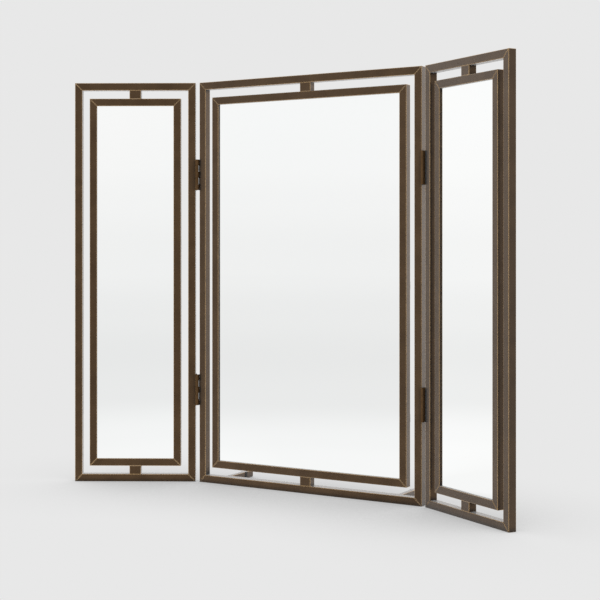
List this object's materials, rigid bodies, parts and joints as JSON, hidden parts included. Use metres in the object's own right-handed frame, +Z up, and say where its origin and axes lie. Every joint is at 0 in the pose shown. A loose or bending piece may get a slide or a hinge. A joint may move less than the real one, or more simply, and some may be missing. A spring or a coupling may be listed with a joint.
{
  "type": "dressing table mirror",
  "caption": "Free-standing folding dressing table mirror: a wide centre panel on rear feet with narrow hinged wings, each an open outer frame round a framed mirror.",
  "frame": {"origin": "on the table, in the middle of the flat underside of the centre panel's bottom rail", "axes": "+X along the centre panel to its right end as seen from the front, +Y to the back of the centre panel, +Z up"},
  "size_m": [0.7668, 0.185, 0.65],
  "materials": {
    "bronze_paint": "dark bronze paint with edges rubbed through to gold",
    "hinge_bronze": "dark bronze",
    "mirror_glass": "silvered glass",
    "backing_board": "smooth brown hardboard",
    "zinc_steel": "zinc plated",
    "rubber_pad": "matte black"
  },
  "bodies": {
    "centre": {"centre_outer_bottom_rail": "bronze_paint", "centre_outer_right_stile": "bronze_paint", "centre_outer_top_rail": "bronze_paint", "centre_outer_left_stile": "bronze_paint", "centre_inner_bottom_rail": "bronze_paint", "centre_inner_right_stile": "bronze_paint", "centre_inner_top_rail": "bronze_paint", "centre_inner_left_stile": "bronze_paint", "centre_bottom_spacer": "bronze_paint", "centre_top_spacer": "bronze_paint", "centre_mirror": "mirror_glass", "centre_backing_board": "backing_board", "centre_board_clips": "zinc_steel", "centre_clip_screws": "zinc_steel", "centre_hinge_screws": "hinge_bronze", "left_upper_hinge_centre_leaf": "hinge_bronze", "left_lower_hinge_centre_leaf": "hinge_bronze", "right_upper_hinge_centre_leaf": "hinge_bronze", "right_lower_hinge_centre_leaf": "hinge_bronze", "hinge_pins": "hinge_bronze", "stand_cross_bar": "bronze_paint", "left_rear_foot": "bronze_paint", "right_rear_foot": "bronze_paint", "foot_pads": "rubber_pad", "stand_screws": "zinc_steel"},
    "left_wing": {"left_wing_outer_bottom_rail": "bronze_paint", "left_wing_outer_right_stile": "bronze_paint", "left_wing_outer_top_rail": "bronze_paint", "left_wing_outer_left_stile": "bronze_paint", "left_wing_inner_bottom_rail": "bronze_paint", "left_wing_inner_right_stile": "bronze_paint", "left_wing_inner_top_rail": "bronze_paint", "left_wing_inner_left_stile": "bronze_paint", "left_wing_bottom_spacer": "bronze_paint", "left_wing_top_spacer": "bronze_paint", "left_wing_mirror": "mirror_glass", "left_wing_backing_board": "backing_board", "left_wing_board_clips": "zinc_steel", "left_wing_clip_screws": "zinc_steel", "left_wing_hinge_screws": "hinge_bronze", "left_upper_hinge_wing_leaf": "hinge_bronze", "left_lower_hinge_wing_leaf": "hinge_bronze"},
    "right_wing": {"right_wing_outer_bottom_rail": "bronze_paint", "right_wing_outer_right_stile": "bronze_paint", "right_wing_outer_top_rail": "bronze_paint", "right_wing_outer_left_stile": "bronze_paint", "right_wing_inner_bottom_rail": "bronze_paint", "right_wing_inner_right_stile": "bronze_paint", "right_wing_inner_top_rail": "bronze_paint", "right_wing_inner_left_stile": "bronze_paint", "right_wing_bottom_spacer": "bronze_paint", "right_wing_top_spacer": "bronze_paint", "right_wing_mirror": "mirror_glass", "right_wing_backing_board": "backing_board", "right_wing_board_clips": "zinc_steel", "right_wing_clip_screws": "zinc_steel", "right_wing_hinge_screws": "hinge_bronze", "right_upper_hinge_wing_leaf": "hinge_bronze", "right_lower_hinge_wing_leaf": "hinge_bronze"}
  },
  "joints": [
    {"name": "left_wing_fold", "type": "hinge", "parent": "centre", "child": "left_wing", "pos_m": [-0.20275, -0.00935, 0.325], "axis": [0, 0, 1], "range_deg": [-42, 150]},
    {"name": "right_wing_fold", "type": "hinge", "parent": "centre", "child": "right_wing", "pos_m": [0.20275, -0.00935, 0.325], "axis": [0, 0, -1], "range_deg": [-42, 150]}
  ]
}
